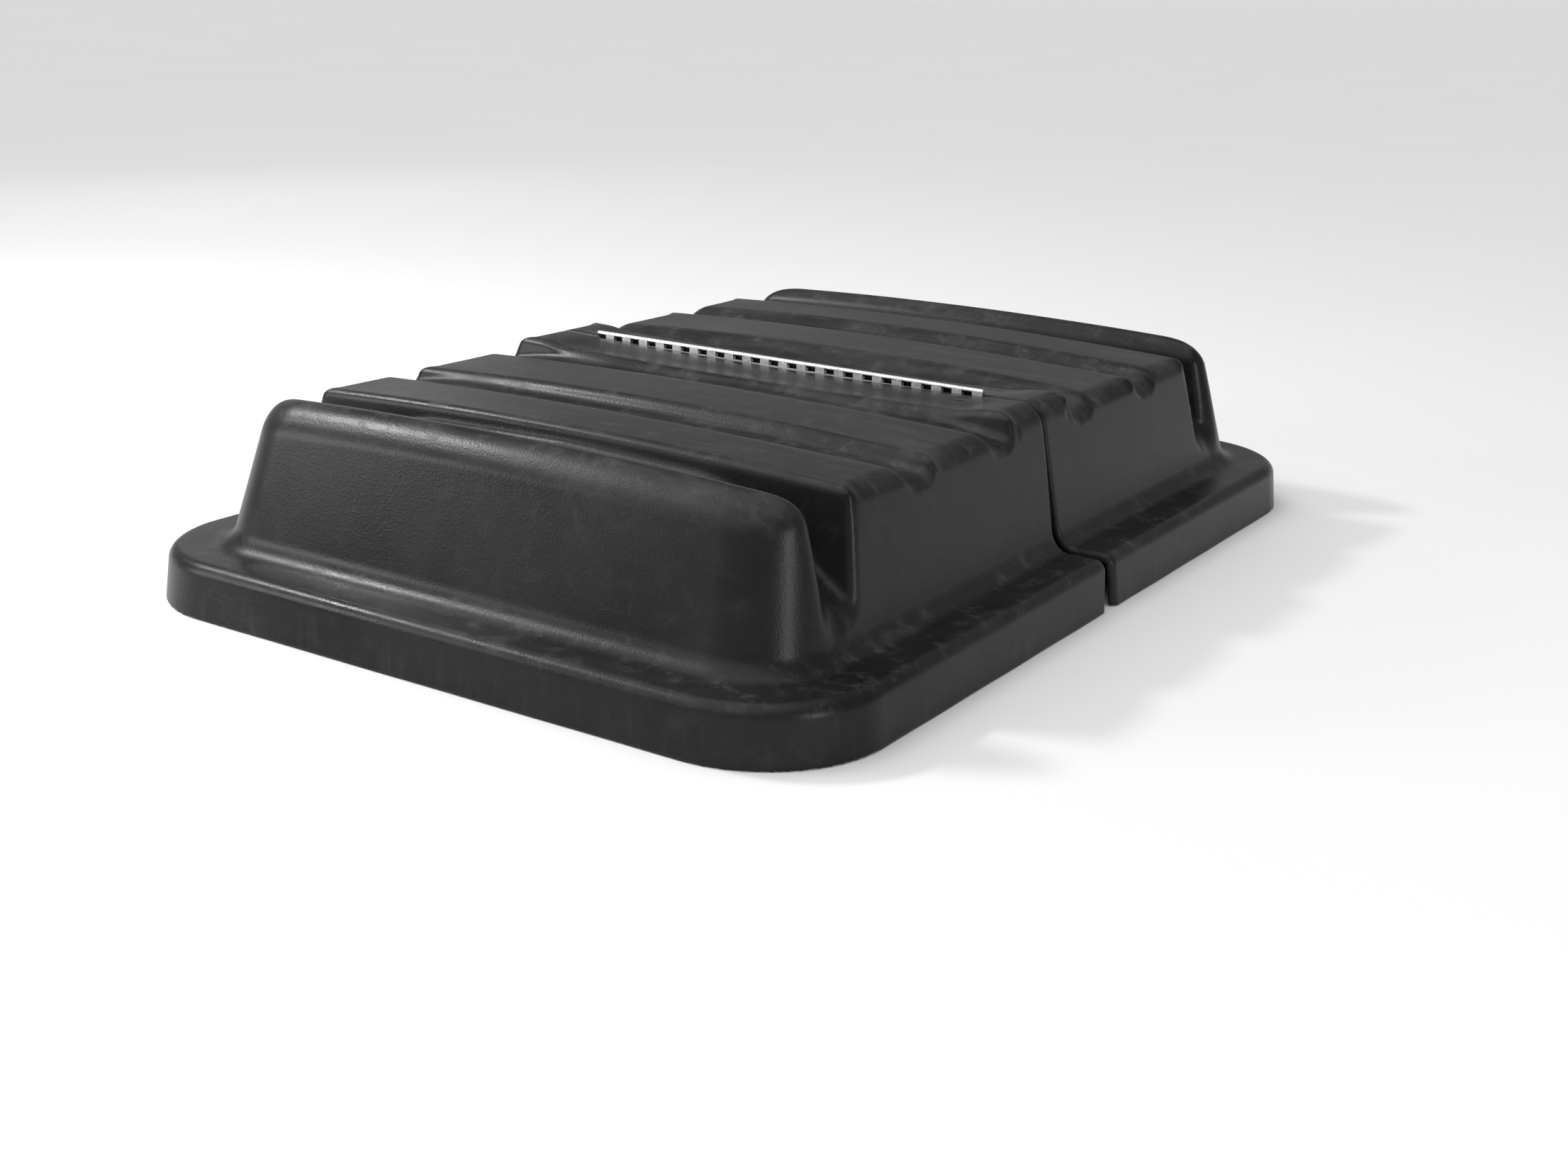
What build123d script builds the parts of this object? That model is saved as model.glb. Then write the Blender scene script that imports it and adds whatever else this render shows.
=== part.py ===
"""Two-piece domed lid for a bulk box, joined across its middle by a piano hinge.

Frame: X along the hinge, Y along the lid, +Z up. The origin is on the plane that the skirt stands on,
straight below the middle of the hinge. The front half lies on -Y and the rear half on +Y.
"""
from build123d import *
import os
from math import radians, tan

os.makedirs("parts", exist_ok=True)

# ---------------------------------------------------------------- driving dimensions, millimetres
# plan of the skirt
LID_WIDTH = 870.0
LID_LENGTH = 1220.0
PLAN_CORNER = 128.0
SKIRT_HEIGHT = 57.0
SKIRT_DRAFT = 5.0
RIM_ROUND = 13.0

# dome: a rounded box that leans in as it rises
DOME_FOOT_X = 368.0
DOME_FOOT_Y = 549.0
DOME_FOOT_CORNER = 78.0
DOME_TOP_X = 335.5
DOME_TOP_Y = 499.0
DOME_TOP_CORNER = 64.0
DOME_TOP_Z = 222.0
DOME_SINK = 2.0
DOME_TOP_ROUND = 22.0
DOME_FOOT_ROUND = 16.0

# crowned top surfaces
CROWN_RADIUS = 6500.0
LOBE_CROWN_Z = 216.0
RIB_CROWN_Z = 210.0

# the strip beside the hinge: low along the hinge, raised into an ear past each of its ends
HINGE_STRIP_Z = 206.0
HINGE_STRIP_X = 270.0
EAR_Z = 214.0
EAR_X = 298.0
STRIP_END_Y = 98.0

# groove floors across the width: height in the middle, where the floor bends down, and where it ends
END_FLOOR = {"mid_z": 190.0, "bend": (225.0, 184.0), "end": (405.0, 63.0), "round": 120.0}
SHALLOW_FLOOR = {"mid_z": 197.0, "bend": (295.0, 194.0), "end": (420.0, 166.0), "round": 90.0}

# cross grooves: distances from the hinge line of each groove's two walls, at the top and at a lower level
GROOVE_TOP_Z = 216.0
END_GROOVE = {"top": (391.0, 452.0), "low": (412.0, 448.0), "low_z": 100.0, "floor": END_FLOOR}
MIDDLE_GROOVE = {"top": (239.0, 302.0), "low": (248.0, 280.0), "low_z": 186.0, "floor": SHALLOW_FLOOR}
INNER_GROOVE = {"top": (68.0, 127.0), "low": (77.0, 106.0), "low_z": 186.0, "floor": SHALLOW_FLOOR}
GROOVE_ROOT = 12.0
LOBE_START_Y = 421.0

# moulding
WALL = 6.5
LIP = 9.0
FLANGE = 8.0
END_GAP = 2.0
END_SPLAY = 8.0
FLANGE_FOOT_Z = 168.0

# piano hinge
KNUCKLE_PITCH = 12.7
KNUCKLE_COUNT = 42
KNUCKLE_GAP = 0.3
LEAF_THICKNESS = 1.2
KNUCKLE_RADIUS = 3.0
PIN_RADIUS = 1.75
PIN_CLEARANCE = 0.05
HINGE_AXIS_Z = 215.0
LEAF_FOOT_Z = 180.0
LEAF_NOTCH_REACH = 6.2
POCKET_MARGIN = 2.0
POCKET_FOOT_Z = 176.0
PIN_CHAMFER = 0.4
STAKE_EVERY = 3
STAKE_RADIUS = 1.2
STAKE_DEPTH = 0.5

# blind rivets and their washers
RIVET_COUNT = 7
RIVET_PITCH = 76.2
RIVET_Z = 187.0
RIVET_RADIUS = 2.4
RIVET_HOLE_RADIUS = 2.5
RIVET_HEAD_RADIUS = 4.6
RIVET_HEAD_HEIGHT = 1.2
RIVET_BULGE_RADIUS = 3.7
RIVET_BULGE_LENGTH = 5.0
MANDREL_RADIUS = 1.2
MANDREL_HOLE_RADIUS = 1.3
MANDREL_HEAD_RADIUS = 2.2
MANDREL_HEAD_LENGTH = 2.0
WASHER_RADIUS = 7.0
WASHER_THICKNESS = 1.5

# ---------------------------------------------------------------- sizes that follow
HINGE_LENGTH = KNUCKLE_COUNT * KNUCKLE_PITCH
BORE_RADIUS = PIN_RADIUS + PIN_CLEARANCE
LEAF_BACK_Y = KNUCKLE_RADIUS
LEAF_FRONT_Y = KNUCKLE_RADIUS - LEAF_THICKNESS
FLANGE_INNER_Y = END_GAP + FLANGE
WASHER_INNER_Y = FLANGE_INNER_Y + WASHER_THICKNESS
BULGE_INNER_Y = WASHER_INNER_Y + RIVET_BULGE_LENGTH
RIVET_PLACES = [((i - (RIVET_COUNT - 1) / 2) * RIVET_PITCH, 0, RIVET_Z) for i in range(RIVET_COUNT)]
REACH = 700.0
SKY = 400.0
LEVEL_TOLERANCE = 0.1


# ---------------------------------------------------------------- the moulded half
def above_crown(crown_z):
    """Area above a shallow arch across the lid, on the XZ plane."""
    edge_z = crown_z - CROWN_RADIUS + (CROWN_RADIUS**2 - REACH**2) ** 0.5
    with BuildSketch(Plane.XZ) as area:
        with BuildLine():
            ThreePointArc((-REACH, edge_z), (0, crown_z), (REACH, edge_z))
            Polyline((REACH, edge_z), (REACH, SKY), (-REACH, SKY), (-REACH, edge_z))
        make_face()
    return area.sketch


def above_floor(floor, drop):
    """Area above a groove's floor line, lowered by the drop, on the XZ plane."""
    bend_x, bend_z = floor["bend"]
    end_x, end_z = floor["end"]
    path = [(-end_x, end_z), (-bend_x, bend_z), (0, floor["mid_z"]), (bend_x, bend_z), (end_x, end_z)]
    with BuildSketch(Plane.XZ) as area:
        with BuildLine():
            FilletPolyline(*[(x, z - drop) for x, z in path], radius=floor["round"])
            Polyline((end_x, end_z - drop), (end_x, SKY), (-end_x, SKY), (-end_x, end_z - drop))
        make_face()
    return area.sketch


def wall_place(groove, side, height):
    """Distance from the hinge line of a groove's wall at a height; side 0 is nearer the hinge."""
    low, top = groove["low"][side], groove["top"][side]
    return low + (top - low) * (height - groove["low_z"]) / (GROOVE_TOP_Z - groove["low_z"])


def groove_cutter(groove, grow):
    """A cross groove of the front half, with leaning walls and an arched floor, grown on every side."""
    foot_z = groove["low_z"] - GROOVE_ROOT - grow
    inner_foot, outer_foot = [wall_place(groove, side, foot_z) for side in (0, 1)]
    inner_sky, outer_sky = [wall_place(groove, side, SKY) for side in (0, 1)]
    with BuildPart() as cutter:
        with BuildSketch(Plane.YZ):
            with BuildLine():
                Polyline(
                    (grow - inner_foot, foot_z),
                    (grow - inner_sky, SKY),
                    (-grow - outer_sky, SKY),
                    (-grow - outer_foot, foot_z),
                    close=True,
                )
            make_face()
        extrude(amount=REACH, both=True)
        extrude(above_floor(groove["floor"], grow), amount=REACH, both=True, mode=Mode.INTERSECT)
    return cutter.part


def end_line(offset):
    """The split end's outline in the YZ plane: upright at the flange, splayed away below it."""
    return [(-END_GAP - offset, SKY), (-END_GAP - offset, FLANGE_FOOT_Z), (-END_GAP - END_SPLAY - offset, 0)]


def beyond_end(offset):
    """Area on the rear side of the front half's split end, on the YZ plane."""
    with BuildSketch(Plane.YZ) as area:
        with BuildLine():
            Polyline(*end_line(offset), (REACH, 0), (REACH, SKY), close=True)
        make_face()
    return area.sketch


def above_strip(drop):
    """Area above the low strip beside the hinge and the ears at its ends, on the XZ plane."""
    with BuildSketch(Plane.XZ) as area:
        with BuildLine():
            Polyline(
                (-REACH, EAR_Z - drop),
                (-EAR_X, EAR_Z - drop),
                (-HINGE_STRIP_X, HINGE_STRIP_Z - drop),
                (HINGE_STRIP_X, HINGE_STRIP_Z - drop),
                (EAR_X, EAR_Z - drop),
                (REACH, EAR_Z - drop),
                (REACH, SKY),
                (-REACH, SKY),
                close=True,
            )
        make_face()
    return area.sketch


def whole_block(inset):
    """The lid as one block with no grooves and no split, its walls moved in by the inset."""
    with BuildPart() as block:
        with BuildSketch():
            RectangleRounded(LID_WIDTH - 2 * inset, LID_LENGTH - 2 * inset, PLAN_CORNER - inset)
        extrude(amount=SKIRT_HEIGHT - inset, taper=SKIRT_DRAFT)
        fillet(block.faces().sort_by(Axis.Z)[-1].edges(), RIM_ROUND - inset)
        with BuildSketch(Plane.XY.offset(SKIRT_HEIGHT - inset - DOME_SINK)):
            RectangleRounded(2 * (DOME_FOOT_X - inset), 2 * (DOME_FOOT_Y - inset), DOME_FOOT_CORNER - inset)
        with BuildSketch(Plane.XY.offset(DOME_TOP_Z)):
            RectangleRounded(2 * (DOME_TOP_X - inset), 2 * (DOME_TOP_Y - inset), DOME_TOP_CORNER - inset)
        loft()
        ledge_z = SKIRT_HEIGHT - inset
        ledge_edges = block.edges().filter_by_position(
            Axis.Z, ledge_z - LEVEL_TOLERANCE, ledge_z + LEVEL_TOLERANCE
        )
        foot_edges = ledge_edges.filter_by_position(Axis.X, -DOME_FOOT_X, DOME_FOOT_X)
        fillet(foot_edges.filter_by_position(Axis.Y, -DOME_FOOT_Y, DOME_FOOT_Y), DOME_FOOT_ROUND + inset)
        extrude(above_crown(LOBE_CROWN_Z - inset), amount=REACH, both=True, mode=Mode.SUBTRACT)
        fillet(block.faces().sort_by(Axis.Z)[-1].edges(), DOME_TOP_ROUND - inset)
    return block.part


def half_form(inset, end_offset):
    """The front half's outer form, or with an inset the form of its hollow."""
    with BuildPart() as form:
        add(whole_block(inset))
        extrude(above_strip(inset), amount=STRIP_END_Y, mode=Mode.SUBTRACT)
        with BuildSketch(Plane.XZ.offset(STRIP_END_Y)):
            add(above_crown(RIB_CROWN_Z - inset))
        extrude(amount=LOBE_START_Y - STRIP_END_Y, mode=Mode.SUBTRACT)
        for groove in (END_GROOVE, MIDDLE_GROOVE, INNER_GROOVE):
            add(groove_cutter(groove, inset), mode=Mode.SUBTRACT)
        extrude(beyond_end(end_offset), amount=REACH, both=True, mode=Mode.SUBTRACT)
    return form.part


def end_opening():
    """The open mouth through the split end, below the flange and inside the lip."""
    with BuildPart() as mouth:
        add(whole_block(LIP))
        with BuildSketch(Plane.YZ):
            with BuildLine():
                Polyline(
                    (-FLANGE_INNER_Y - END_SPLAY - LIP, 0),
                    (-FLANGE_INNER_Y - END_SPLAY - LIP, FLANGE_FOOT_Z),
                    (END_GAP, FLANGE_FOOT_Z),
                    (END_GAP, 0),
                    close=True,
                )
            make_face()
        extrude(amount=REACH, both=True, mode=Mode.INTERSECT)
    return mouth.part


with BuildPart() as front_lid:
    add(half_form(0, 0))
    add(half_form(WALL, FLANGE), mode=Mode.SUBTRACT)
    add(end_opening(), mode=Mode.SUBTRACT)
    with Locations((0, 0, (POCKET_FOOT_Z + SKY) / 2)):
        Box(HINGE_LENGTH + 2 * POCKET_MARGIN, 2 * LEAF_BACK_Y, SKY - POCKET_FOOT_Z, mode=Mode.SUBTRACT)
    with Locations(*RIVET_PLACES):
        Cylinder(RIVET_HOLE_RADIUS, 4 * FLANGE, rotation=(90, 0, 0), mode=Mode.SUBTRACT)
front_lid.part.label = "front_lid"
export_step(front_lid.part, "parts/front_lid.step")

with BuildPart() as rear_lid:
    add(front_lid.part, rotation=(0, 0, 180))
rear_lid.part.label = "rear_lid"
export_step(rear_lid.part, "parts/rear_lid.step")


# ---------------------------------------------------------------- piano hinge
def knuckle_places(first):
    """Middle of every second knuckle along the hinge, starting from the knuckle with this number."""
    start = -HINGE_LENGTH / 2 + KNUCKLE_PITCH / 2
    return [(start + i * KNUCKLE_PITCH, 0, HINGE_AXIS_Z) for i in range(first, KNUCKLE_COUNT, 2)]


def hinge_leaf(first_own, first_other, staked):
    """Front leaf: a flat strip on the -Y side of the pin, rolled into a knuckle at every second place."""
    own_places = knuckle_places(first_own)
    own_length = KNUCKLE_PITCH - KNUCKLE_GAP
    leaf_height = HINGE_AXIS_Z - LEAF_FOOT_Z
    with BuildPart() as leaf:
        with Locations((0, -(LEAF_BACK_Y + LEAF_FRONT_Y) / 2, LEAF_FOOT_Z + leaf_height / 2)):
            Box(HINGE_LENGTH, LEAF_THICKNESS, leaf_height)
        with Locations(*knuckle_places(first_other)):
            Box(KNUCKLE_PITCH + KNUCKLE_GAP, 4 * KNUCKLE_RADIUS, 2 * LEAF_NOTCH_REACH, mode=Mode.SUBTRACT)
        with Locations(*own_places):
            Cylinder(KNUCKLE_RADIUS, own_length, rotation=(0, 90, 0))
        with Locations((0, 0, HINGE_AXIS_Z)):
            Cylinder(BORE_RADIUS, HINGE_LENGTH, rotation=(0, 90, 0), mode=Mode.SUBTRACT)
        with Locations(*RIVET_PLACES):
            Cylinder(RIVET_HOLE_RADIUS, 4 * KNUCKLE_RADIUS, rotation=(90, 0, 0), mode=Mode.SUBTRACT)
        if staked:
            stake_y = -KNUCKLE_RADIUS - STAKE_RADIUS + STAKE_DEPTH
            with Locations(*[(x, stake_y, z) for x, _, z in own_places[1::STAKE_EVERY]]):
                Sphere(STAKE_RADIUS, mode=Mode.SUBTRACT)
    return leaf.part


with BuildPart() as front_hinge_leaf:
    add(hinge_leaf(1, 0, staked=True))
front_hinge_leaf.part.label = "front_hinge_leaf"
export_step(front_hinge_leaf.part, "parts/front_hinge_leaf.step")

# turned end for end, the front leaf's second knuckle place becomes the rear leaf's first
with BuildPart() as rear_hinge_leaf:
    add(hinge_leaf(1, 0, staked=False), rotation=(0, 0, 180))
rear_hinge_leaf.part.label = "rear_hinge_leaf"
export_step(rear_hinge_leaf.part, "parts/rear_hinge_leaf.step")

with BuildPart() as hinge_pin:
    with Locations((0, 0, HINGE_AXIS_Z)):
        Cylinder(PIN_RADIUS, HINGE_LENGTH, rotation=(0, 90, 0))
    chamfer(hinge_pin.edges().filter_by(GeomType.CIRCLE), PIN_CHAMFER)
hinge_pin.part.label = "hinge_pin"
export_step(hinge_pin.part, "parts/hinge_pin.step")


# ---------------------------------------------------------------- blind rivets, on the front half
def turned_about_rivet_line(outline):
    """A solid turned about the rivet's line, from (radius, distance from the hinge line) points."""
    with BuildPart() as turned:
        with BuildSketch(Plane.XY):
            with BuildLine():
                Polyline(*[(radius, -distance) for radius, distance in outline], close=True)
            make_face()
        revolve(axis=Axis.Y)
    return turned.part


def at_rivets(piece):
    """One copy of the piece at every rivet place."""
    return [Pos(*place) * piece for place in RIVET_PLACES]


rivet_body = turned_about_rivet_line(
    [
        (MANDREL_HOLE_RADIUS, LEAF_FRONT_Y - RIVET_HEAD_HEIGHT),
        (RIVET_HEAD_RADIUS / 2, LEAF_FRONT_Y - RIVET_HEAD_HEIGHT),
        (RIVET_HEAD_RADIUS, LEAF_FRONT_Y - RIVET_HEAD_HEIGHT / 3),
        (RIVET_HEAD_RADIUS, LEAF_FRONT_Y),
        (RIVET_RADIUS, LEAF_FRONT_Y),
        (RIVET_RADIUS, WASHER_INNER_Y),
        (RIVET_BULGE_RADIUS, WASHER_INNER_Y),
        (RIVET_BULGE_RADIUS, WASHER_INNER_Y + RIVET_BULGE_LENGTH / 2),
        (RIVET_RADIUS, BULGE_INNER_Y),
        (MANDREL_HOLE_RADIUS, BULGE_INNER_Y),
    ]
)
mandrel_stub = turned_about_rivet_line(
    [
        (0, LEAF_FRONT_Y - RIVET_HEAD_HEIGHT / 2),
        (MANDREL_RADIUS, LEAF_FRONT_Y - RIVET_HEAD_HEIGHT / 2),
        (MANDREL_RADIUS, BULGE_INNER_Y),
        (MANDREL_HEAD_RADIUS, BULGE_INNER_Y),
        (MANDREL_HEAD_RADIUS, BULGE_INNER_Y + MANDREL_HEAD_LENGTH / 2),
        (MANDREL_RADIUS, BULGE_INNER_Y + MANDREL_HEAD_LENGTH),
        (0, BULGE_INNER_Y + MANDREL_HEAD_LENGTH),
    ]
)
washer = turned_about_rivet_line(
    [
        (RIVET_HOLE_RADIUS, FLANGE_INNER_Y),
        (WASHER_RADIUS, FLANGE_INNER_Y),
        (WASHER_RADIUS, WASHER_INNER_Y),
        (RIVET_HOLE_RADIUS, WASHER_INNER_Y),
    ]
)

FASTENERS = {"hinge_rivets": rivet_body, "rivet_mandrels": mandrel_stub, "rivet_washers": washer}
for group_name, piece in FASTENERS.items():
    for side, turn in (("front", 0), ("rear", 180)):
        with BuildPart() as group:
            add(at_rivets(piece), rotation=(0, 0, turn))
        group.part.label = f"{side}_{group_name}"
        export_step(group.part, f"parts/{side}_{group_name}.step")
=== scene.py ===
"""Visual model of the two-piece domed lid: two satin black mouldings joined by a bright piano hinge.

Both mouldings are one surface, worked out as a distance field in millimetres and meshed on a graded grid.
The front half lies on -Y. The rear half is the same moulding turned end for end.
"""

import math

import bpy
import numpy as np
from mathutils import Matrix, Vector


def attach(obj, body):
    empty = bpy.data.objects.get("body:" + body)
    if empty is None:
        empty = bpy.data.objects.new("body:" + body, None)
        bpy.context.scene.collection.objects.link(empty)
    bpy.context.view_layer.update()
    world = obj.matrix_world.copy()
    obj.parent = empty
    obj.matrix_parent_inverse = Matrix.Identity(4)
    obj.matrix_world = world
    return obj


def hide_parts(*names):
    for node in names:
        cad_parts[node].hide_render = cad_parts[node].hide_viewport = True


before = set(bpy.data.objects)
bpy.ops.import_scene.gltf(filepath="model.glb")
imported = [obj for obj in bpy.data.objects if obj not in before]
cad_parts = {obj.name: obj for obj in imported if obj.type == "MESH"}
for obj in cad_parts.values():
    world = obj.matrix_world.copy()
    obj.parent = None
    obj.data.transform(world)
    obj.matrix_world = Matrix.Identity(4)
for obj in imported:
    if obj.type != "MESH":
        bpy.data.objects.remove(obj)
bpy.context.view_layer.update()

# ---------------------------------------------------------------- driving dimensions of the moulding, mm
MM = 0.001
LID_WIDTH = 870.0
LID_LENGTH = 1220.0
PLAN_CORNER = 128.0
SKIRT_HEIGHT = 57.0
SKIRT_DRAFT = 5.0
RIM_ROUND = 13.0
LEDGE_ROUND = 19.0

DOME_FOOT = {"x": 368.0, "y": 549.0, "corner": 78.0, "z": 55.0}
DOME_TOP = {"x": 335.5, "y": 499.0, "corner": 64.0, "z": 222.0}
DOME_LEAN = math.cos(math.atan2(DOME_FOOT["x"] - DOME_TOP["x"], DOME_TOP["z"] - DOME_FOOT["z"]))

CROWN_RADIUS = 6500.0
LOBE_CROWN_Z = 216.0
RIB_CROWN_Z = 210.0
STRIP_Z = 203.5
STRIP_SWELL = 4.4
STRIP_SWELL_Y = (4.0, 52.0)
STRIP_RISE = 2.5
STRIP_HALF = 228.0
EAR_RISE = 4.0
EAR_FROM_X = 262.0
EAR_TO_X = 305.0

# cross grooves: a wall's distance from the hinge line at the top, and how far it moves in per mm of depth
GROOVE_TOP_Z = 216.0
INNER_GROOVE = {"near": (68.0, 0.30), "far": (127.0, -0.70)}
MIDDLE_GROOVE = {"near": (239.0, 0.30), "far": (302.0, -0.73)}
END_GROOVE = {"near": (391.0, 0.18), "far": (452.0, -0.034)}
SHALLOW_FLOOR = {"mid_z": 197.0, "bend": (295.0, 194.0), "slope": 0.224, "blend": 14.0}
END_FLOOR = {"mid_z": 190.0, "bend": (225.0, 184.0), "slope": 0.672, "blend": 42.0}
FLOOR_LIMIT_Z = 75.0
FLOOR_CHANGE_Y = 345.0
NEAR_LIP_ROUND = 8.0
FAR_LIP_ROUND = 15.0
END_LIP_ROUND = 26.0
ROOT_ROUND = 9.0

# rounding where the top surfaces meet the dome's sides, by distance from the hinge line
EDGE_PLACES = [0, 58, 70, 98, 112, 150, 226, 241, 268, 284, 320, 378, 393, 428, 455, 500]
EDGE_ROUNDS = [24, 24, 10, 11, 20, 20, 20, 10, 11, 20, 20, 18, 10, 12, 24, 34]

WALL = 6.5
LIP = 9.0
FLANGE = 8.0
FLANGE_FOOT_Z = 168.0
MOUTH_DEPTH = 27.0
END_GAP = 2.0
END_SPLAY = 8.0
SPLAY_EASE = 0.15
END_EDGE_ROUND = 3.2
SKIRT_END_ROUND = 8.0
POCKET_HALF = 268.7
POCKET_FOOT_Z = 176.0
POCKET_Y = 3.0

# moulded details: a blank label panel on the lobe and the round gate mark beside the hinge
PANEL_X = (-62.0, 80.0)
PANEL_Y = (456.5, 469.5)
PANEL_DEPTH = 1.3
PANEL_EDGE = 1.6
GATE_X = 252.0
GATE_Y = 24.0
GATE_RADIUS = 10.0
GATE_EDGE = 2.0
GATE_BOSS = (3.0, 6.0)
GATE_DEPTH = 0.7

# the split end's outer edge is rounder on the skirt, and changes between these heights
END_ROUND_SPAN = (SKIRT_HEIGHT - 12, SKIRT_HEIGHT + 20)

# slow waves over the surface: their lengths, and how far each bends the other
WAVE_DEPTH = 0.22
WAVE_ACROSS = {"length": 31, "bend": 1.3, "bend_length": 47}
WAVE_ALONG = {"length": 23, "rise_length": 29, "bend": 1.1, "bend_length": 61}

# meshing grid: step sizes, and the spans that need each of them
FULL_STEPS = {"fine": 2.6, "middling": 4.5, "coarse": 7.0, "floor": 3.6}
ACROSS_SPANS = (
    (-438.0, -280.0, "fine"), (-280.0, -250.0, "middling"), (-250.0, 250.0, "coarse"),
    (250.0, 280.0, "middling"), (280.0, 438.0, "fine"),
)
ALONG_SPANS = (
    (-2.0, 140.0, "fine"), (140.0, 228.0, "coarse"), (228.0, 316.0, "fine"), (316.0, 380.0, "coarse"),
    (380.0, 540.0, "fine"), (540.0, 585.0, "middling"), (585.0, 613.0, "fine"),
)
UPWARD_SPANS = ((-3.0, 90.0, "fine"), (90.0, 156.0, "floor"), (156.0, 220.0, "fine"))
SLOPE_STEP = 0.25
SLOPE_FLOOR = 0.2
SETTLE_ROUNDS = 4


# ---------------------------------------------------------------- distance fields
def round_inside(a, b, radius):
    """Intersection of two fields, its outer edge rounded."""
    spill = np.hypot(np.maximum(radius + a, 0), np.maximum(radius + b, 0))
    return np.minimum(-radius, np.maximum(a, b)) + spill


def round_join(a, b, radius):
    """Union of two fields, its inner corner filled with a round."""
    spill = np.hypot(np.maximum(radius - a, 0), np.maximum(radius - b, 0))
    return np.maximum(radius, np.minimum(a, b)) - spill


def eased(value, low, high):
    """0 below low and 1 above high, with a smooth rise between."""
    share = np.clip((value - low) / (high - low), 0, 1)
    return share * share * (3 - 2 * share)


def falling(value, low, high):
    """1 below low and 0 above high, with a smooth fall between."""
    return eased(-value, -high, -low)


def rounded_plan(x, y, half_x, half_y, corner):
    """Distance from a rounded rectangle about the origin of the plan."""
    over_x = np.abs(x) - half_x + corner
    over_y = np.abs(y) - half_y + corner
    outside = np.hypot(np.maximum(over_x, 0), np.maximum(over_y, 0))
    return outside + np.minimum(np.maximum(over_x, over_y), 0) - corner


def skirt_field(x, y, z):
    """The skirt and its ledge, filled solid."""
    draft = math.radians(SKIRT_DRAFT)
    lean = math.tan(draft) * z
    side = rounded_plan(x, y, LID_WIDTH / 2 - lean, LID_LENGTH / 2 - lean, PLAN_CORNER)
    return round_inside(side * math.cos(draft), z - SKIRT_HEIGHT, RIM_ROUND)


def dome_field(x, y, z):
    """The dome's sides, which lean in as they rise."""
    rise = (z - DOME_FOOT["z"]) / (DOME_TOP["z"] - DOME_FOOT["z"])
    half_x, half_y, corner = [
        DOME_FOOT[key] + (DOME_TOP[key] - DOME_FOOT[key]) * rise for key in ("x", "y", "corner")
    ]
    return rounded_plan(x, y, half_x, half_y, corner) * DOME_LEAN


def floor_height(floor, x):
    """Height of a groove's floor across the lid: nearly flat in the middle, then falling to each side."""
    bend_x, bend_z = floor["bend"]
    middle = floor["mid_z"] + (bend_z - floor["mid_z"]) * np.abs(x) / bend_x
    side = bend_z - floor["slope"] * (np.abs(x) - bend_x)
    ease = np.maximum(floor["blend"] - np.abs(middle - side), 0) / floor["blend"]
    return np.maximum(np.minimum(middle, side) - ease**2 * floor["blend"] / 4, FLOOR_LIMIT_Z)


def floor_field(floor, x, z):
    """Distance above a groove's floor."""
    step = 1.0
    slope = (floor_height(floor, x + step) - floor_height(floor, x - step)) / (2 * step)
    return (z - floor_height(floor, x)) / np.sqrt(1 + slope**2)


def groove_wall(wall, y, z):
    """Distance from a groove's leaning wall, below zero towards the hinge."""
    top_y, lean = wall
    return (y - top_y - lean * (GROOVE_TOP_Z - z)) / math.hypot(1, lean)


def rib(top, y, z, inner_wall, inner_round, outer_wall, outer_round):
    """A rib under its top field, between the walls of the grooves on each side of it."""
    body = top
    if inner_wall:
        body = round_inside(body, -groove_wall(inner_wall, y, z), inner_round)
    if outer_wall:
        body = round_inside(body, groove_wall(outer_wall, y, z), outer_round)
    return body


def strip_height(x, y):
    """Height of the strip beside the hinge, with its swell, its ears and the gate mark."""
    from_middle = np.abs(x)
    ear = EAR_RISE * eased(from_middle, EAR_FROM_X, EAR_TO_X)
    height = STRIP_Z + STRIP_RISE * (x / STRIP_HALF) ** 2 + ear
    swell = STRIP_SWELL * falling(y, *STRIP_SWELL_Y)
    height = height + swell * falling(from_middle, EAR_FROM_X, EAR_TO_X)
    from_gate = np.hypot(x - GATE_X, y - GATE_Y)
    mark = falling(from_gate, GATE_RADIUS - GATE_EDGE, GATE_RADIUS) * eased(from_gate, *GATE_BOSS)
    return height - GATE_DEPTH * mark


def panel_share(x, y):
    """1 on the label panel and 0 off it, with a narrow slope round its edge."""
    share = 1.0
    for value, (low, high) in ((x, PANEL_X), (y, PANEL_Y)):
        share = share * eased(value, low, low + PANEL_EDGE) * falling(value, high - PANEL_EDGE, high)
    return share


def top_field(x, y, z):
    """Everything below the lid's top: four ribs and the floors of the three grooves."""
    crown = x**2 / (2 * CROWN_RADIUS)
    rib_top = z - RIB_CROWN_Z + crown
    lobe_top = z - LOBE_CROWN_Z + crown
    strip_top = z - strip_height(x, y)
    hinge_rib = rib(strip_top, y, z, None, 0, INNER_GROOVE["near"], NEAR_LIP_ROUND)
    middle_rib = rib(rib_top, y, z, INNER_GROOVE["far"], FAR_LIP_ROUND, MIDDLE_GROOVE["near"], NEAR_LIP_ROUND)
    outer_rib = rib(rib_top, y, z, MIDDLE_GROOVE["far"], FAR_LIP_ROUND, END_GROOVE["near"], NEAR_LIP_ROUND)
    lobe = rib(lobe_top, y, z, END_GROOVE["far"], END_LIP_ROUND, None, 0)
    lobe = lobe + PANEL_DEPTH * panel_share(x, y) * (z > RIB_CROWN_Z - WALL)
    ribs = np.minimum(np.minimum(hinge_rib, middle_rib), np.minimum(outer_rib, lobe))
    floors = np.where(y < FLOOR_CHANGE_Y, floor_field(SHALLOW_FLOOR, x, z), floor_field(END_FLOOR, x, z))
    return round_join(ribs, floors, ROOT_ROUND)


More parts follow.
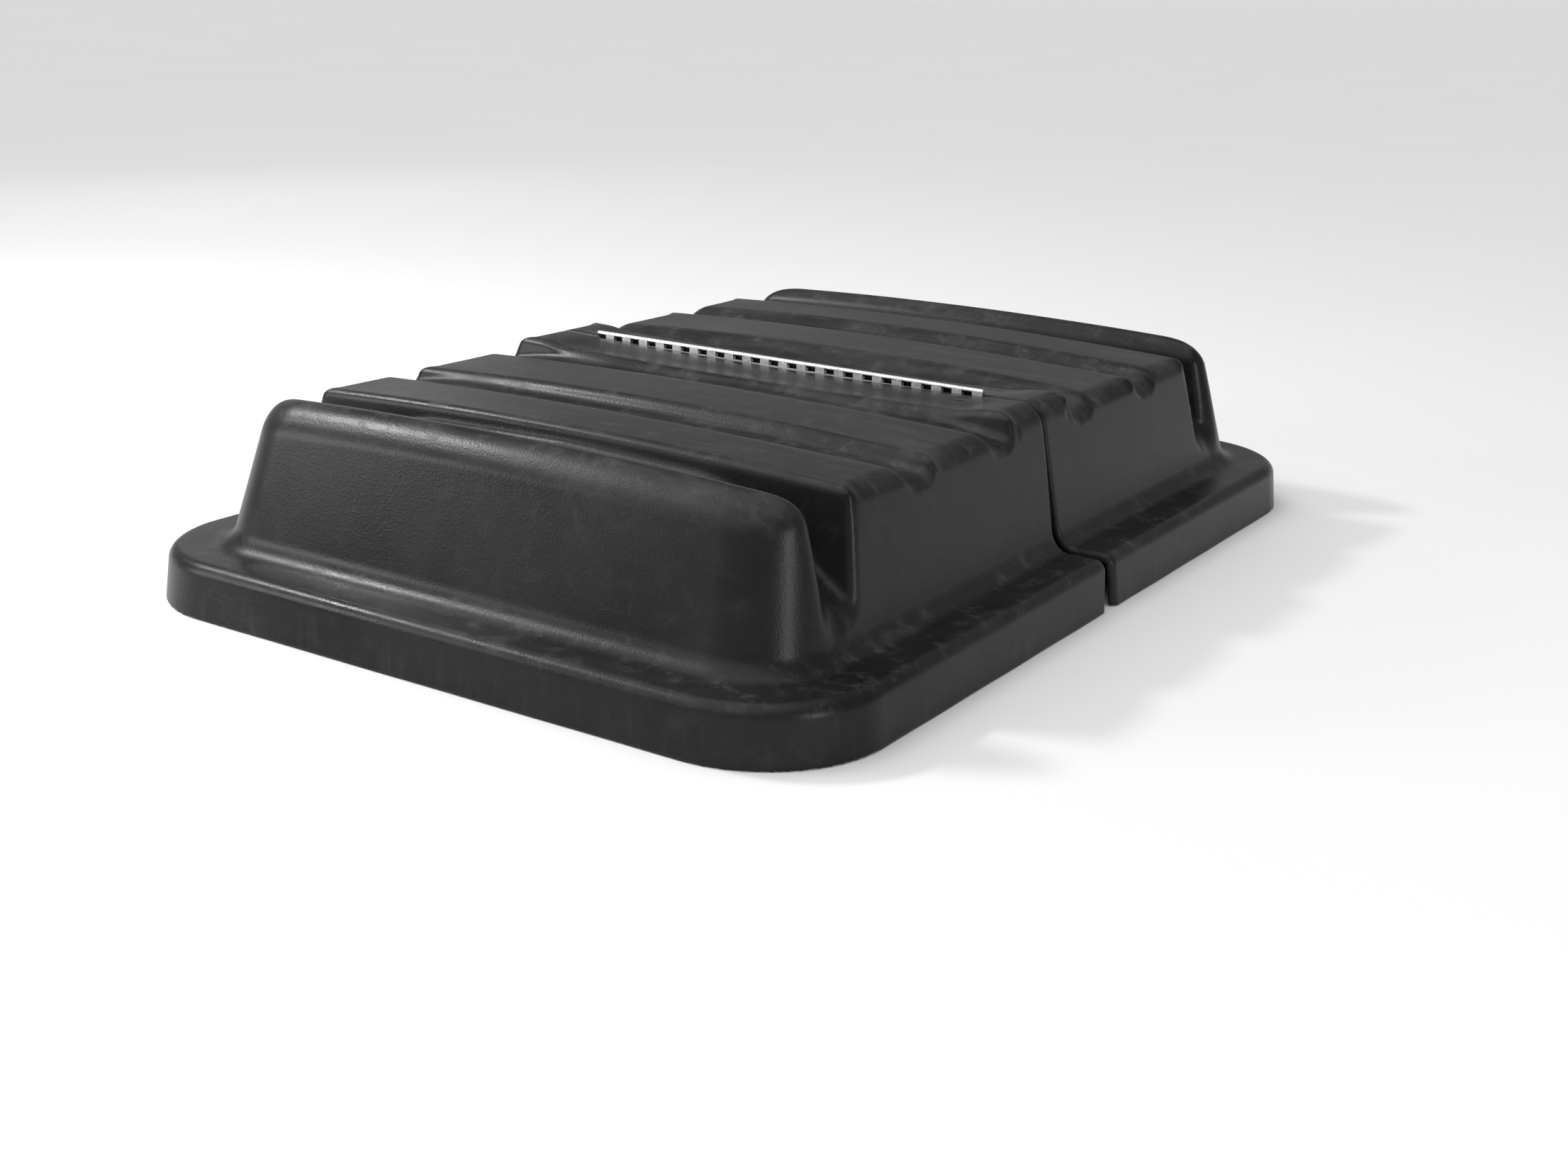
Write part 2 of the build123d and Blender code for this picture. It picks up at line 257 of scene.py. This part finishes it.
def end_place(x, z):
    """Distance of the split end from the hinge line."""
    depth = np.maximum((FLANGE_FOOT_Z - z) / FLANGE_FOOT_Z, 0)
    eased_depth = np.where(depth < SPLAY_EASE, depth**2 / (2 * SPLAY_EASE), depth - SPLAY_EASE / 2)
    plain = END_GAP + END_SPLAY * eased_depth / (1 - SPLAY_EASE / 2)
    return np.where((np.abs(x) < POCKET_HALF) & (z > POCKET_FOOT_Z), POCKET_Y, plain)


def waviness(x, y, z):
    """Slow unevenness of a foamed moulding, always inwards, from 0 to 1."""
    bent_along = WAVE_ACROSS["bend"] * np.sin(y / WAVE_ACROSS["bend_length"])
    bent_across = WAVE_ALONG["bend"] * np.sin(x / WAVE_ALONG["bend_length"])
    across = np.sin(x / WAVE_ACROSS["length"] + bent_along)
    along = np.sin(y / WAVE_ALONG["length"] + z / WAVE_ALONG["rise_length"] + bent_across)
    return 0.5 + 0.25 * (across + along)


def lid_field(x, y, z):
    """The front half, with y as the distance from the hinge line."""
    base = round_join(skirt_field(x, y, z), dome_field(x, y, z), LEDGE_ROUND)
    edge_round = np.interp(y, EDGE_PLACES, EDGE_ROUNDS)
    form = round_inside(base, top_field(x, y, z), edge_round)
    end = end_place(x, z) - y
    end_round = END_EDGE_ROUND + (SKIRT_END_ROUND - END_EDGE_ROUND) * falling(z, *END_ROUND_SPAN)
    outer = round_inside(form + WAVE_DEPTH * waviness(x, y, z), end, end_round)
    hollow = np.maximum(form + WALL, end + FLANGE)
    mouth = np.maximum(np.maximum(base + LIP, z - FLANGE_FOOT_Z), y - MOUTH_DEPTH)
    return np.maximum(np.maximum(outer, -np.minimum(hollow, mouth)), -z)


# ---------------------------------------------------------------- meshing
def graded(spans, steps):
    """Grid lines through spans of (start, end, name of the step)."""
    lines = [spans[0][0]]
    for start, end, step_name in spans:
        count = max(1, round((end - start) / steps[step_name]))
        lines.extend(start + (end - start) * (i + 1) / count for i in range(count))
    return np.array(lines)


def surface_net(field, axes):
    """Vertices and four-sided faces of the field's zero surface on a grid of lines."""
    inside = field < 0
    shape = tuple(n - 1 for n in field.shape)
    total = np.zeros((int(np.prod(shape)), 3))
    count = np.zeros(len(total))
    faces = []
    for axis in range(3):
        start = [slice(None)] * 3
        stop = [slice(None)] * 3
        start[axis], stop[axis] = slice(None, -1), slice(1, None)
        low, high = field[tuple(start)], field[tuple(stop)]
        index = np.argwhere((low < 0) != (high < 0))
        share = low[tuple(index.T)] / (low[tuple(index.T)] - high[tuple(index.T)])
        point = np.stack([axes[a][index[:, a]] for a in range(3)], axis=1)
        step = axes[axis][index[:, axis] + 1] - axes[axis][index[:, axis]]
        point[:, axis] += share * step
        side_a, side_b = [a for a in range(3) if a != axis]
        corners = []
        for back_a, back_b in ((0, 0), (1, 0), (1, 1), (0, 1)):
            cell = index.copy()
            cell[:, side_a] -= back_a
            cell[:, side_b] -= back_b
            flat = np.ravel_multi_index(tuple(np.clip(cell, 0, np.array(shape) - 1).T), shape)
            np.add.at(total, flat, point)
            np.add.at(count, flat, 1)
            corners.append(flat)
        quads = np.stack(corners, axis=1)
        outward = inside[tuple(index.T)] == (axis == 1)
        quads[~outward] = quads[~outward][:, ::-1]
        faces.append(quads)
    used = np.flatnonzero(count)
    number = np.full(len(total), -1)
    number[used] = np.arange(len(used))
    return total[used] / count[used, None], number[np.concatenate(faces)]


def settled(points, field, reach):
    """Points moved along the field's gradient on to its zero surface, each by less than the reach."""
    placed = points.copy()
    for _ in range(SETTLE_ROUNDS):
        value = field(*placed.T)
        slope = np.empty_like(placed)
        for axis in range(3):
            shift = np.zeros(3)
            shift[axis] = SLOPE_STEP
            ahead, behind = field(*(placed + shift).T), field(*(placed - shift).T)
            slope[:, axis] = (ahead - behind) / (2 * SLOPE_STEP)
        size = np.maximum((slope**2).sum(axis=1), SLOPE_FLOOR)
        move = -value[:, None] * slope / size[:, None]
        placed = points + np.clip(placed + move - points, -reach, reach)
    return placed


def lid_surface():
    """The front half's vertices, in metres in the shared frame, and its faces."""
    steps = FULL_STEPS
    axes = tuple(graded(spans, steps) for spans in (ACROSS_SPANS, ALONG_SPANS, UPWARD_SPANS))
    field = lid_field(*np.meshgrid(*axes, indexing="ij"))
    points, quads = surface_net(field, axes)
    points = settled(points, lid_field, steps["fine"] / 2)
    points[:, 1] *= -1
    return points * MM, quads


def mesh_object(name, points, quads):
    """A smooth object of four-sided faces."""
    mesh = bpy.data.meshes.new(name)
    mesh.vertices.add(len(points))
    mesh.vertices.foreach_set("co", points.astype(np.float32).ravel())
    mesh.loops.add(quads.size)
    mesh.loops.foreach_set("vertex_index", quads.astype(np.int32).ravel())
    mesh.polygons.add(len(quads))
    mesh.polygons.foreach_set("loop_start", np.arange(0, quads.size, 4, dtype=np.int32))
    mesh.polygons.foreach_set("use_smooth", np.ones(len(quads), dtype=bool))
    mesh.update(calc_edges=True)
    mesh.validate()
    made = bpy.data.objects.new(name, mesh)
    bpy.context.scene.collection.objects.link(made)
    return made


# ---------------------------------------------------------------- materials
class Nodes:
    """Short calls for building one material's nodes."""

    def __init__(self, name):
        self.material = bpy.data.materials.new(name)
        self.material.use_nodes = True
        self.tree = self.material.node_tree
        self.shader = self.tree.nodes["Principled BSDF"]
        coordinates = self.tree.nodes.new("ShaderNodeTexCoord")
        self.place = coordinates.outputs["Object"]

    def link(self, source, target):
        self.tree.links.new(source, target)

    def node(self, kind, **settings):
        made = self.tree.nodes.new(kind)
        for key, value in settings.items():
            setattr(made, key, value)
        return made

    def stretched(self, scale, offset=(0, 0, 0)):
        mapping = self.node("ShaderNodeMapping")
        mapping.inputs["Scale"].default_value = scale
        mapping.inputs["Location"].default_value = offset
        self.link(self.place, mapping.inputs["Vector"])
        return mapping.outputs["Vector"]

    def noise(self, pattern, vector=None):
        """One of the patterns, on the piece's own coordinates or on the given ones."""
        settings = {"detail": 3.0, "roughness": 0.5, "distortion": 0.0, **PATTERNS[pattern]}
        made = self.node("ShaderNodeTexNoise")
        for key, value in settings.items():
            made.inputs[key.capitalize()].default_value = value
        self.link(vector or self.place, made.inputs["Vector"])
        return made.outputs["Fac"]

    def cells(self, scale, feature="F1", output="Distance", vector=None):
        made = self.node("ShaderNodeTexVoronoi", feature=feature)
        made.inputs["Scale"].default_value = scale
        self.link(vector or self.place, made.inputs["Vector"])
        return made.outputs[output]

    def ramp(self, value, low, high, to_low=0.0, to_high=1.0):
        """A smooth change from to_low to to_high as the value goes from low to high."""
        made = self.node("ShaderNodeMapRange", interpolation_type="SMOOTHSTEP")
        self.link(value, made.inputs["Value"])
        for key, number in zip(("From Min", "From Max", "To Min", "To Max"), (low, high, to_low, to_high)):
            made.inputs[key].default_value = number
        return made.outputs["Result"]

    def math(self, operation, a, b=0.0):
        made = self.node("ShaderNodeMath", operation=operation)
        for socket, value in zip(made.inputs, (a, b)):
            if isinstance(value, (int, float)):
                socket.default_value = value
            else:
                self.link(value, socket)
        return made.outputs["Value"]

    def mix(self, share, a, b):
        made = self.node("ShaderNodeMix", data_type="RGBA")
        self.link(share, made.inputs["Factor"])
        for socket, value in zip((made.inputs[6], made.inputs[7]), (a, b)):
            if isinstance(value, tuple):
                socket.default_value = (*value, 1.0)
            else:
                self.link(value, socket)
        return made.outputs[2]

    def bump(self, height, distance, strength, after=None):
        made = self.node("ShaderNodeBump")
        made.inputs["Strength"].default_value = strength
        made.inputs["Distance"].default_value = distance
        self.link(height, made.inputs["Height"])
        if after is not None:
            self.link(after, made.inputs["Normal"])
        return made.outputs["Normal"]

    def facing_up(self):
        geometry = self.node("ShaderNodeNewGeometry")
        split = self.node("ShaderNodeSeparateXYZ")
        self.link(geometry.outputs["Normal"], split.inputs["Vector"])
        return split.outputs["Z"]

    def along(self, axis):
        """The piece's own coordinate along an axis, in metres."""
        split = self.node("ShaderNodeSeparateXYZ")
        self.link(self.place, split.inputs["Vector"])
        return split.outputs[axis]

    def product(self, a, b):
        return self.math("MULTIPLY", a, b)

    def shown(self, pattern, vector=None):
        """A pattern as a mask, from 0 where its span starts to 1 where it is full."""
        return self.ramp(self.noise(pattern, vector), *SPANS[pattern])


def grey(level, warmth=0.0):
    return (level * (1 + warmth), level, level * (1 - warmth))


# patterns by name: features in a metre and how they are broken up; a scale of 1 leaves the size to a stretch
PATTERNS = {
    "clouds": {"scale": 4.2, "detail": 4, "roughness": 0.55, "distortion": 0.6},
    "streaks": {"scale": 1.0, "detail": 5, "roughness": 0.62, "distortion": 1.4},
    "fine_streaks": {"scale": 1.0, "detail": 4, "roughness": 0.6, "distortion": 0.8},
    "blotches": {"scale": 17, "detail": 5, "roughness": 0.6, "distortion": 0.8},
    "dust": {"scale": 38, "detail": 6, "roughness": 0.7, "distortion": 0.3},
    "speck_areas": {"scale": 9, "detail": 2},
    "rubbed_areas": {"scale": 26, "detail": 7, "roughness": 0.72},
    "drips": {"scale": 1.0, "detail": 4, "roughness": 0.6},
    "scratch_areas": {"scale": 13},
    "orange_peel": {"scale": 330, "detail": 3, "roughness": 0.5},
    "tarnish": {"scale": 70, "detail": 5, "roughness": 0.65},
    "brushing": {"scale": 1.0, "detail": 4, "roughness": 0.6},
    "stains": {"scale": 240, "detail": 4},
    "paper": {"scale": 1.5},
}
STREAK_STRETCH = (4.5, 24, 9)
FINE_STREAK_STRETCH = (7, 120, 60)
FINE_STREAK_OFFSET = (3, 1, 2)
DRIP_STRETCH = (70, 70, 5)
SCRATCH_STRETCH = (9, 52, 40)
SCRATCH_OFFSET = (0.3, 0.7, 0.2)
SPECK_CELLS = 210
GRAIN_CELLS = 560

# the part of each pattern that shows: where it starts and where it is full
SPANS = {
    "upward": (0.25, 0.95),
    "clouds": (0.3, 0.72),
    "cloud_gloss": (0.25, 0.75),
    "streaks": (0.4, 0.8),
    "fine_streaks": (0.5, 0.78),
    "blotches": (0.45, 0.75),
    "dust": (0.48, 0.8),
    "specks": (0.03, 0.075),
    "speck_areas": (0.5, 0.68),
    "rubbed_areas": (0.5, 0.66),
    "drips": (0.5, 0.75),
    "scratches": (0.0, 0.006),
    "scratch_areas": (0.56, 0.64),
    "tarnish": (0.35, 0.7),
    "brushing": (0.5, 0.75),
    "brush_gloss": (0.3, 0.7),
    "stains": (0.6, 0.72),
}

# each layer's share of the colour where its pattern is full
STREAK_SHARE = 0.55
FINE_STREAK_SHARE = 0.3
BLOTCH_SHARE = 0.1
DUST_SHARE_UP = 0.3
DUST_SHARE_ALL = 0.08
SPECK_SHARE = 0.5
RUBBED_SHARE = 0.35
DRIP_SHARE = 0.12
SCRATCH_SHARE = 0.2
BRUSH_SHARE = 0.35
STAIN_SHARE = 0.5

# gloss: the plastic's roughness, what each layer changes in it, and its weak reflection
PLASTIC_ROUGH = (0.28, 0.37)
DUST_ROUGH = 0.5
FLOW_ROUGH = 0.07
RUBBED_ROUGH = 0.08
PLASTIC_IOR = 1.46
PLASTIC_SPECULAR = 0.2
METALLIC = 0.85

# grey levels
PLASTIC_DARK = 0.006
PLASTIC_LIGHT = 0.016
STREAK_GREY = 0.06
BLOTCH_GREY = 0.04
DUST_GREY = 0.14
SPECK_GREY = 0.22
RUBBED_GREY = 0.006
DRIP_GREY = 0.1
SCRATCH_GREY = 0.11
STAIN_GREY = 0.12
STAIN_WARMTH = 0.05
# painted shade: the near-black grey of the hinge leaves' hidden faces between and behind the knuckles
PAINTED_SHADE_GREY = 0.012

# heights in metres between which a pattern fades in or out
CREST_Z = (0.15, 0.18)
RIM_LOW_Z = (0.036, 0.05)
RIM_HIGH_Z = (0.0565, 0.063)
DRIP_Z = (0.012, 0.05)

# painted shade on the hinge's hidden faces, in metres: between the leaves, and on each leaf's knuckles on the
# other leaf's side
BETWEEN_Y = (0.00186, 0.0021)
BETWEEN_Z = (0.2126, 0.2132)
FAR_FACE_Y = (0.0001, 0.0005)
FAR_FACE_Z = (0.2141, 0.2148)

# bumps: depth in metres and strength
GRAIN_BUMP = (0.0003, 0.32)
PEEL_BUMP = (0.0005, 0.24)
SCRATCH_BUMP = (0.0002, 0.4)
BRUSH_BUMP = (0.0002, 0.25)

# metals: light and dark grey, roughness at its lowest and highest, and how the brushed lines are stretched
HINGE_STEEL = {"light": 0.8, "dark": 0.58, "rough": (0.3, 0.44), "brushed": (60, 900, 900)}
METAL_LOOKS = {
    "front_hinge_steel": {**HINGE_STEEL, "far_side": 1},
    "rear_hinge_steel": {**HINGE_STEEL, "far_side": -1},
    "pin_steel": {"light": 0.5, "dark": 0.32, "rough": (0.25, 0.42), "brushed": (900, 60, 900)},
    "rivet_aluminium": {"light": 0.72, "dark": 0.52, "rough": (0.28, 0.45), "brushed": (500, 500, 500)},
    "washer_steel": {"light": 0.58, "dark": 0.4, "rough": (0.3, 0.5), "brushed": (400, 400, 400)},
}


def plastic():
    """Satin black structural foam: leather grain, flow streaks, dust, scuffs, specks and scratches."""
    n = Nodes("lid_plastic")
    up = n.ramp(n.facing_up(), *SPANS["upward"])
    height = n.along("Z")
    clouds = n.noise("clouds")
    colour = n.mix(n.ramp(clouds, *SPANS["clouds"]), grey(PLASTIC_DARK), grey(PLASTIC_LIGHT))

    # streaks of the moulding's flow, on the crest only, and blotches all over
    crest = n.product(up, n.ramp(height, *CREST_Z))
    flow = n.product(n.shown("streaks", n.stretched(STREAK_STRETCH)), crest)
    colour = n.mix(n.product(flow, STREAK_SHARE), colour, grey(STREAK_GREY))
    fine_streaks = n.shown("fine_streaks", n.stretched(FINE_STREAK_STRETCH, FINE_STREAK_OFFSET))
    fine_flow = n.product(fine_streaks, crest)
    colour = n.mix(n.product(fine_flow, FINE_STREAK_SHARE), colour, grey(STREAK_GREY))
    colour = n.mix(n.product(n.shown("blotches"), BLOTCH_SHARE), colour, grey(BLOTCH_GREY))

    # dust, thickest on faces that look up, and pale specks
    settling = n.math("ADD", n.product(up, DUST_SHARE_UP), DUST_SHARE_ALL)
    dust_share = n.product(n.shown("dust"), settling)
    colour = n.mix(dust_share, colour, grey(DUST_GREY))
    specks = n.ramp(n.cells(SPECK_CELLS), *SPANS["specks"], 1.0, 0.0)
    speck_share = n.product(specks, n.product(n.shown("speck_areas"), SPECK_SHARE))
    colour = n.mix(speck_share, colour, grey(SPECK_GREY))

    # the rubbed rim, drip marks low on the skirt, and scratches
    rim = n.product(n.ramp(height, *RIM_LOW_Z), n.ramp(height, *RIM_HIGH_Z, 1.0, 0.0))
    rubbed = n.product(rim, n.shown("rubbed_areas"))
    colour = n.mix(n.product(rubbed, RUBBED_SHARE), colour, grey(RUBBED_GREY))
    drips = n.product(n.ramp(height, *DRIP_Z, 1.0, 0.0), n.shown("drips", n.stretched(DRIP_STRETCH)))
    colour = n.mix(n.product(drips, DRIP_SHARE), colour, grey(DRIP_GREY))
    scratch_place = n.stretched(SCRATCH_STRETCH, SCRATCH_OFFSET)
    scratch_line = n.cells(1.0, "DISTANCE_TO_EDGE", "Distance", scratch_place)
    scratches = n.product(n.ramp(scratch_line, *SPANS["scratches"], 1.0, 0.0), n.shown("scratch_areas"))
    colour = n.mix(n.product(scratches, SCRATCH_SHARE), colour, grey(SCRATCH_GREY))
    n.link(colour, n.shader.inputs["Base Color"])

    rough = n.ramp(clouds, *SPANS["cloud_gloss"], *PLASTIC_ROUGH)
    rough = n.math("ADD", rough, n.product(dust_share, DUST_ROUGH))
    rough = n.math("ADD", rough, n.product(flow, FLOW_ROUGH))
    n.link(n.math("SUBTRACT", rough, n.product(rubbed, RUBBED_ROUGH)), n.shader.inputs["Roughness"])
    n.shader.inputs["IOR"].default_value = PLASTIC_IOR
    n.shader.inputs["Specular IOR Level"].default_value = PLASTIC_SPECULAR

    normal = n.bump(n.cells(GRAIN_CELLS, "SMOOTH_F1"), *GRAIN_BUMP)
    normal = n.bump(n.noise("orange_peel"), *PEEL_BUMP, normal)
    normal = n.bump(scratches, *SCRATCH_BUMP, normal)
    n.link(normal, n.shader.inputs["Normal"])
    return n.material


def hinge_painted_shade(n, far_side):
    """Share of painted shade on a leaf's hidden faces, between the leaves and behind the other leaf's
    knuckles, its far side being +1 for +Y or -1 for -Y.
    """
    across, height = n.along("Y"), n.along("Z")
    between = n.ramp(n.math("ABSOLUTE", across), *BETWEEN_Y, 1.0, 0.0)
    below = n.ramp(height, *BETWEEN_Z, 1.0, 0.0)
    beyond = n.ramp(n.product(across, far_side), *FAR_FACE_Y)
    under = n.ramp(height, *FAR_FACE_Z, 1.0, 0.0)
    return n.math("MAXIMUM", n.product(between, below), n.product(beyond, under))


def metal(name, light, dark, rough, brushed, far_side=0):
    """Plated steel or aluminium: brushed lines, tarnish, stains, and painted shade on a hinge leaf's hidden
    faces.
    """
    n = Nodes(name)
    lines = n.noise("brushing", n.stretched(brushed))
    colour = n.mix(n.shown("tarnish"), grey(light), grey(dark))
    colour = n.mix(n.product(n.ramp(lines, *SPANS["brushing"]), BRUSH_SHARE), colour, grey(dark))
    colour = n.mix(n.product(n.shown("stains"), STAIN_SHARE), colour, grey(STAIN_GREY, STAIN_WARMTH))
    # painted shade: the faces between the leaves and behind the other leaf's knuckles are darkened to near
    # black
    if far_side:
        colour = n.mix(hinge_painted_shade(n, far_side), colour, grey(PAINTED_SHADE_GREY))
    n.link(colour, n.shader.inputs["Base Color"])
    n.link(n.ramp(lines, *SPANS["brush_gloss"], *rough), n.shader.inputs["Roughness"])
    n.shader.inputs["Metallic"].default_value = METALLIC
    n.link(n.bump(lines, *BRUSH_BUMP), n.shader.inputs["Normal"])
    return n.material


def paint(piece, material):
    """The material as a piece's only one."""
    piece.data.materials.clear()
    piece.data.materials.append(material)


PLASTIC = plastic()
METALS = {name: metal(name, **look) for name, look in METAL_LOOKS.items()}

# ---------------------------------------------------------------- pieces
front_points, lid_quads = lid_surface()
rear_points = front_points * np.array([-1, -1, 1])
for half, points in (("front", front_points), ("rear", rear_points)):
    moulding = mesh_object(f"{half}_moulding", points, lid_quads)
    paint(moulding, PLASTIC)
    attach(moulding, f"{half}_half")
    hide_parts(f"{half}_lid")

NODE_SLOTS = {
    "hinge_rivets": "rivet_aluminium",
    "rivet_mandrels": "pin_steel",
    "rivet_washers": "washer_steel",
}
for half in ("front", "rear"):
    paint(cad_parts[f"{half}_hinge_leaf"], METALS[f"{half}_hinge_steel"])
    for node_name, slot_name in NODE_SLOTS.items():
        paint(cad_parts[f"{half}_{node_name}"], METALS[slot_name])
paint(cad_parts["hinge_pin"], METALS["pin_steel"])

# ---------------------------------------------------------------- floor, lights, camera
FLOOR_SIZE = 60.0
FLOOR_DROP = 0.0006
FLOOR_DARK = 0.86
FLOOR_LIGHT = 0.89
FLOOR_ROUGH = 0.9
FLOOR_SPECULAR = 0.1


def stage_floor():
    """A plain pale floor, just under the lid's skirt."""
    half = FLOOR_SIZE / 2
    corners = [(x * half, y * half, -FLOOR_DROP) for x, y in ((-1, -1), (1, -1), (1, 1), (-1, 1))]
    floor = mesh_object("floor", np.array(corners), np.array([[0, 1, 2, 3]]))
    n = Nodes("floor_paper")
    n.link(n.mix(n.noise("paper"), grey(FLOOR_DARK), grey(FLOOR_LIGHT)), n.shader.inputs["Base Color"])
    n.shader.inputs["Roughness"].default_value = FLOOR_ROUGH
    n.shader.inputs["Specular IOR Level"].default_value = FLOOR_SPECULAR
    paint(floor, n.material)


def aimed(thing, place, target):
    """A light put in its place and turned to its target."""
    thing.location = place
    thing.rotation_euler = (Vector(target) - Vector(place)).to_track_quat("-Z", "Y").to_euler()


def soft_light(name, place, size, power):
    """A rectangular lamp turned to the middle of the lid."""
    lamp = bpy.data.lights.new(name, "AREA")
    lamp.shape = "RECTANGLE"
    lamp.size, lamp.size_y = size
    lamp.energy = power
    holder = bpy.data.objects.new(name, lamp)
    bpy.context.scene.collection.objects.link(holder)
    aimed(holder, place, LAMP_TARGET)


SKY_LOW = 0.7
SKY_HIGH = 0.3
SKY_SPAN = (0.03, 0.2)
SUN_PLACE = (-0.7, -0.7, 2.6)
SUN_POWER = 1.7
SUN_ANGLE = 80
LAMP_TARGET = (0, 0, 0.1)
# name, place, width and height, power
LAMPS = (
    ("right", (3.0, -1.1, 0.8), (0.35, 0.9), 21),
    ("left", (-2.3, -2.2, 1.05), (1.0, 0.9), 26),
    ("top", (-1.95, -0.8, 1.95), (0.45, 0.2), 34),
    ("back_left", (-3.4, 2.0, 1.25), (1.6, 0.7), 3),
)


def studio_light():
    """A dim room, brightest along the horizon, with a broad light overhead and soft lamps around the lid."""
    world = bpy.data.worlds.new("studio")
    world.use_nodes = True
    tree = world.node_tree
    direction = tree.nodes.new("ShaderNodeTexCoord")
    split = tree.nodes.new("ShaderNodeSeparateXYZ")
    level = tree.nodes.new("ShaderNodeMapRange")
    tree.links.new(direction.outputs["Generated"], split.inputs["Vector"])
    tree.links.new(split.outputs["Z"], level.inputs["Value"])
    for key, number in zip(("From Min", "From Max", "To Min", "To Max"), (*SKY_SPAN, SKY_LOW, SKY_HIGH)):
        level.inputs[key].default_value = number
    tree.links.new(level.outputs["Result"], tree.nodes["Background"].inputs["Strength"])
    tree.nodes["Background"].inputs["Color"].default_value = (1, 1, 1, 1)
    bpy.context.scene.world = world
    bpy.context.scene.view_settings.view_transform = "Standard"

    sun = bpy.data.lights.new("overhead", "SUN")
    sun.energy = SUN_POWER
    sun.angle = math.radians(SUN_ANGLE)
    holder = bpy.data.objects.new("overhead", sun)
    bpy.context.scene.collection.objects.link(holder)
    aimed(holder, SUN_PLACE, (0, 0, 0))
    for name, place, size, power in LAMPS:
        soft_light(name, place, size, power)


CAMERA_AZIMUTH = 32.99
CAMERA_PITCH = 18.02
CAMERA_ROLL = 1.46
CAMERA_DISTANCE = 2.3073
CAMERA_SLIDE = (0.01039, -0.05883)
CAMERA_LENS = 44.33
SENSOR_WIDTH = 36.0


def studio_camera():
    """A camera on a ball about the origin, slid in its own plane and rolled."""
    azimuth, pitch, roll = [math.radians(a) for a in (CAMERA_AZIMUTH, CAMERA_PITCH, CAMERA_ROLL)]
    back = Vector((
        math.sin(azimuth) * math.cos(pitch),
        -math.cos(azimuth) * math.cos(pitch),
        math.sin(pitch),
    ))
    level = Vector((math.cos(azimuth), math.sin(azimuth), 0))
    upright = back.cross(level)
    right = level * math.cos(roll) + upright * math.sin(roll)
    up = upright * math.cos(roll) - level * math.sin(roll)
    data = bpy.data.cameras.new("studio_camera")
    data.sensor_width = SENSOR_WIDTH
    data.lens = CAMERA_LENS
    data.clip_end = 2 * FLOOR_SIZE
    camera = bpy.data.objects.new("studio_camera", data)
    bpy.context.scene.collection.objects.link(camera)
    place = back * CAMERA_DISTANCE + right * CAMERA_SLIDE[0] + up * CAMERA_SLIDE[1]
    camera.matrix_world = Matrix.Translation(place) @ Matrix((right, up, back)).transposed().to_4x4()
    bpy.context.scene.camera = camera


stage_floor()
studio_light()
studio_camera()
